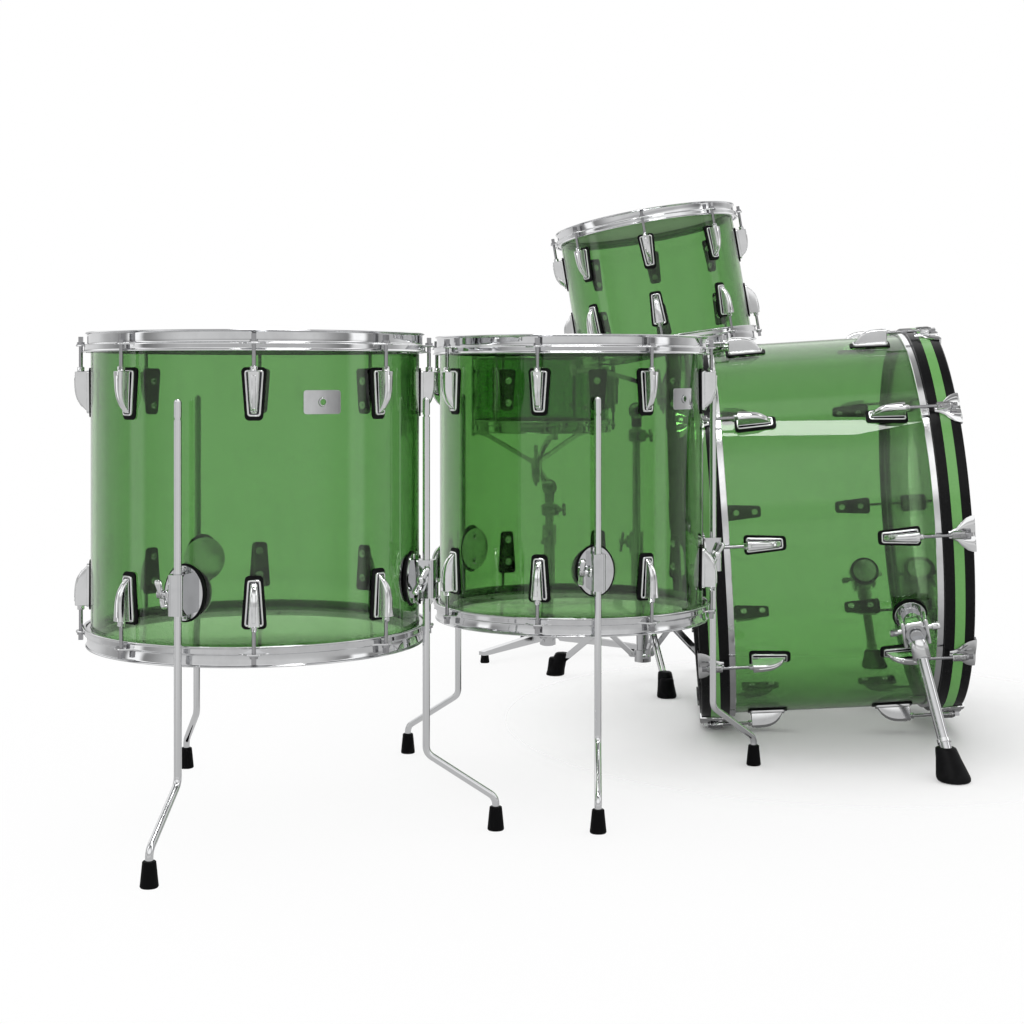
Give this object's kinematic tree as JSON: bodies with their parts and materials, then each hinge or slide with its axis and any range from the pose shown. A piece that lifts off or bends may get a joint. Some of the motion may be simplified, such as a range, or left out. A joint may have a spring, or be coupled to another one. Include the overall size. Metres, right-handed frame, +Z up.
{
  "type": "drum kit",
  "caption": "Acoustic drum kit with tinted clear acrylic shells and chrome hardware: bass drum on spurs, floor toms on bent legs, rack tom and snare drum on folding stands.",
  "frame": {"origin": "on the floor, at the middle of the kit's plan", "axes": "+Z up; +X the way the bass drum's front head faces; the picture is taken from -Y"},
  "size_m": [1.4096, 1.991, 0.9675],
  "materials": {
    "acrylic_shell": "clear tinted gloss",
    "drum_head_film": "clear film",
    "black_gasket": "matt",
    "black_lacquered_wood": "gloss lacquer",
    "green_inlay": "gloss",
    "black_rubber": "matt",
    "steel_wire": "bright",
    "chrome_hardware": "polished"
  },
  "bodies": {
    "kit": {"floor_tom_18_shell": "acrylic_shell", "floor_tom_16_shell": "acrylic_shell", "floor_tom_heads": "drum_head_film", "floor_tom_hoops": "chrome_hardware", "floor_tom_lugs": "chrome_hardware", "floor_tom_gaskets": "black_gasket", "floor_tom_rods": "chrome_hardware", "floor_tom_brackets": "chrome_hardware", "floor_tom_screws": "chrome_hardware", "floor_tom_badge": "chrome_hardware", "bass_drum_shell": "acrylic_shell", "bass_drum_heads": "drum_head_film", "bass_drum_hoops": "black_lacquered_wood", "bass_drum_hoop_inlays": "green_inlay", "bass_drum_lugs": "chrome_hardware", "bass_drum_gaskets": "black_gasket", "bass_drum_claws": "chrome_hardware", "bass_drum_tension_rods": "chrome_hardware", "bass_drum_spur_brackets": "chrome_hardware", "tom_stand_base": "chrome_hardware", "snare_stand_base": "chrome_hardware", "stand_height_screws": "chrome_hardware"},
    "floor_tom_18_leg_front_body": {"floor_tom_18_leg_front": "chrome_hardware"},
    "floor_tom_18_leg_right_body": {"floor_tom_18_leg_right": "chrome_hardware"},
    "floor_tom_18_leg_rear_body": {"floor_tom_18_leg_rear": "chrome_hardware"},
    "floor_tom_16_leg_front_body": {"floor_tom_16_leg_front": "chrome_hardware"},
    "floor_tom_16_leg_right_body": {"floor_tom_16_leg_right": "chrome_hardware"},
    "floor_tom_16_leg_left_body": {"floor_tom_16_leg_left": "chrome_hardware"},
    "spur_right_body": {"spur_right": "chrome_hardware", "spur_foot_right": "black_rubber"},
    "spur_left_body": {"spur_left": "chrome_hardware", "spur_foot_left": "black_rubber"},
    "tom_post_body": {"tom_stand_post": "chrome_hardware"},
    "rack_tom_body": {"rack_tom_shell": "acrylic_shell", "rack_tom_heads": "drum_head_film", "rack_tom_hoops": "chrome_hardware", "rack_tom_lugs": "chrome_hardware", "rack_tom_gaskets": "black_gasket", "rack_tom_rods": "chrome_hardware", "rack_tom_basket": "chrome_hardware"},
    "snare_post_body": {"snare_stand_post": "chrome_hardware"},
    "snare_body": {"snare_drum_shell": "acrylic_shell", "snare_drum_heads": "drum_head_film", "snare_drum_hoops": "chrome_hardware", "snare_drum_lugs": "chrome_hardware", "snare_drum_rods": "chrome_hardware", "snare_strainer": "chrome_hardware", "snare_wires": "steel_wire", "snare_basket": "chrome_hardware"},
    "strainer_lever_body": {"strainer_lever": "chrome_hardware"},
    "tom_brace_1_body": {"tom_stand_brace_1": "chrome_hardware"},
    "tom_leg_1_body": {"tom_stand_leg_1": "chrome_hardware"},
    "tom_runner_body": {"tom_stand_runner": "chrome_hardware"},
    "tom_brace_2_body": {"tom_stand_brace_2": "chrome_hardware"},
    "tom_leg_2_body": {"tom_stand_leg_2": "chrome_hardware"},
    "tom_brace_3_body": {"tom_stand_brace_3": "chrome_hardware"},
    "tom_leg_3_body": {"tom_stand_leg_3": "chrome_hardware"},
    "snare_leg_1_body": {"snare_stand_leg_1": "chrome_hardware"},
    "snare_leg_2_body": {"snare_stand_leg_2": "chrome_hardware"},
    "snare_leg_3_body": {"snare_stand_leg_3": "chrome_hardware"}
  },
  "joints": [
    {"name": "floor_tom_18_leg_front_height", "type": "slide", "parent": "kit", "child": "floor_tom_18_leg_front_body", "axis": [0, 0, 1], "range_m": [-0.12, 0.1]},
    {"name": "floor_tom_18_leg_right_height", "type": "slide", "parent": "kit", "child": "floor_tom_18_leg_right_body", "axis": [0, 0, 1], "range_m": [-0.12, 0.1]},
    {"name": "floor_tom_18_leg_rear_height", "type": "slide", "parent": "kit", "child": "floor_tom_18_leg_rear_body", "axis": [0, 0, 1], "range_m": [-0.12, 0.1]},
    {"name": "floor_tom_16_leg_front_height", "type": "slide", "parent": "kit", "child": "floor_tom_16_leg_front_body", "axis": [0, 0, 1], "range_m": [-0.12, 0.1]},
    {"name": "floor_tom_16_leg_right_height", "type": "slide", "parent": "kit", "child": "floor_tom_16_leg_right_body", "axis": [0, 0, 1], "range_m": [-0.12, 0.1]},
    {"name": "floor_tom_16_leg_left_height", "type": "slide", "parent": "kit", "child": "floor_tom_16_leg_left_body", "axis": [0, 0, 1], "range_m": [-0.12, 0.1]},
    {"name": "spur_right_fold", "type": "hinge", "parent": "kit", "child": "spur_right_body", "pos_m": [0.5453, -0.31546, 0.21297], "axis": [0.0508, 0.9194, 0.39], "range_deg": [0, 95]},
    {"name": "spur_left_fold", "type": "hinge", "parent": "kit", "child": "spur_left_body", "pos_m": [0.60194, 0.37942, 0.21297], "axis": [0.0988, 0.9155, -0.39], "range_deg": [0, 95]},
    {"name": "tom_stand_height", "type": "slide", "parent": "kit", "child": "tom_post_body", "axis": [0, 0, 1], "range_m": [-0.02, 0.1]},
    {"name": "rack_tom_tilt", "type": "hinge", "parent": "tom_post_body", "child": "rack_tom_body", "pos_m": [0.16766, 0.43712, 0.548], "axis": [0, 1, 0], "range_deg": [-12, 12]},
    {"name": "snare_stand_height", "type": "slide", "parent": "kit", "child": "snare_post_body", "axis": [0, 0, 1], "range_m": [-0.015, 0.1]},
    {"name": "snare_tilt", "type": "hinge", "parent": "snare_post_body", "child": "snare_body", "pos_m": [-0.01784, 0.79445, 0.37], "axis": [0, 1, 0], "range_deg": [-15, 8]},
    {"name": "strainer_throw_off", "type": "hinge", "parent": "snare_body", "child": "strainer_lever_body", "pos_m": [0.14698, 0.80822, 0.60755], "axis": [0.0698, -0.9976, 0], "range_deg": [0, 80]},
    {"name": "tom_brace_1_fold", "type": "hinge", "parent": "kit", "child": "tom_brace_1_body", "pos_m": [0.17166, 0.41447, 0.053], "axis": [-0.9848, -0.1736, 0], "range_deg": [0, 40]},
    {"name": "tom_leg_1_fold", "type": "hinge", "parent": "tom_brace_1_body", "child": "tom_leg_1_body", "pos_m": [0.1823, 0.35411, 0.10442], "axis": [0.9848, 0.1736, 0], "range_deg": [0, 80]},
    {"name": "tom_runner_lift", "type": "hinge", "parent": "tom_leg_1_body", "child": "tom_runner_body", "pos_m": [0.17166, 0.41447, 0.15585], "axis": [-0.9848, -0.1736, 0], "range_deg": [0, 40]},
    {"name": "tom_brace_2_fold", "type": "hinge", "parent": "kit", "child": "tom_brace_2_body", "pos_m": [0.18528, 0.4519, 0.053], "axis": [0.6428, -0.766, 0], "range_deg": [0, 40]},
    {"name": "tom_leg_2_fold", "type": "hinge", "parent": "tom_brace_2_body", "child": "tom_leg_2_body", "pos_m": [0.23223, 0.49129, 0.10442], "axis": [-0.6428, 0.766, 0], "range_deg": [0, 80]},
    {"name": "tom_brace_3_fold", "type": "hinge", "parent": "kit", "child": "tom_brace_3_body", "pos_m": [0.14605, 0.44498, 0.053], "axis": [0.342, 0.9397, 0], "range_deg": [0, 40]},
    {"name": "tom_leg_3_fold", "type": "hinge", "parent": "tom_brace_3_body", "child": "tom_leg_3_body", "pos_m": [0.08846, 0.46594, 0.10442], "axis": [-0.342, -0.9397, 0], "range_deg": [0, 80]},
    {"name": "snare_leg_1_fold", "type": "hinge", "parent": "kit", "child": "snare_leg_1_body", "pos_m": [0.00728, 0.78772, 0.04], "axis": [-0.2588, -0.9659, 0], "range_deg": [0, 75]},
    {"name": "snare_leg_2_fold", "type": "hinge", "parent": "kit", "child": "snare_leg_2_body", "pos_m": [-0.02457, 0.81957, 0.04], "axis": [0.9659, 0.2588, 0], "range_deg": [0, 75]},
    {"name": "snare_leg_3_fold", "type": "hinge", "parent": "kit", "child": "snare_leg_3_body", "pos_m": [-0.03622, 0.77607, 0.04], "axis": [-0.7071, 0.7071, 0], "range_deg": [0, 75]}
  ],
  "couplings": [
    {"joint": "tom_leg_1_fold", "follows": "tom_brace_1_fold", "ratio": 2},
    {"joint": "tom_runner_lift", "follows": "tom_brace_1_fold", "ratio": 1},
    {"joint": "tom_leg_2_fold", "follows": "tom_brace_1_fold", "ratio": 2},
    {"joint": "tom_brace_2_fold", "follows": "tom_brace_1_fold", "ratio": 1},
    {"joint": "tom_leg_3_fold", "follows": "tom_brace_1_fold", "ratio": 2},
    {"joint": "tom_brace_3_fold", "follows": "tom_brace_1_fold", "ratio": 1}
  ]
}
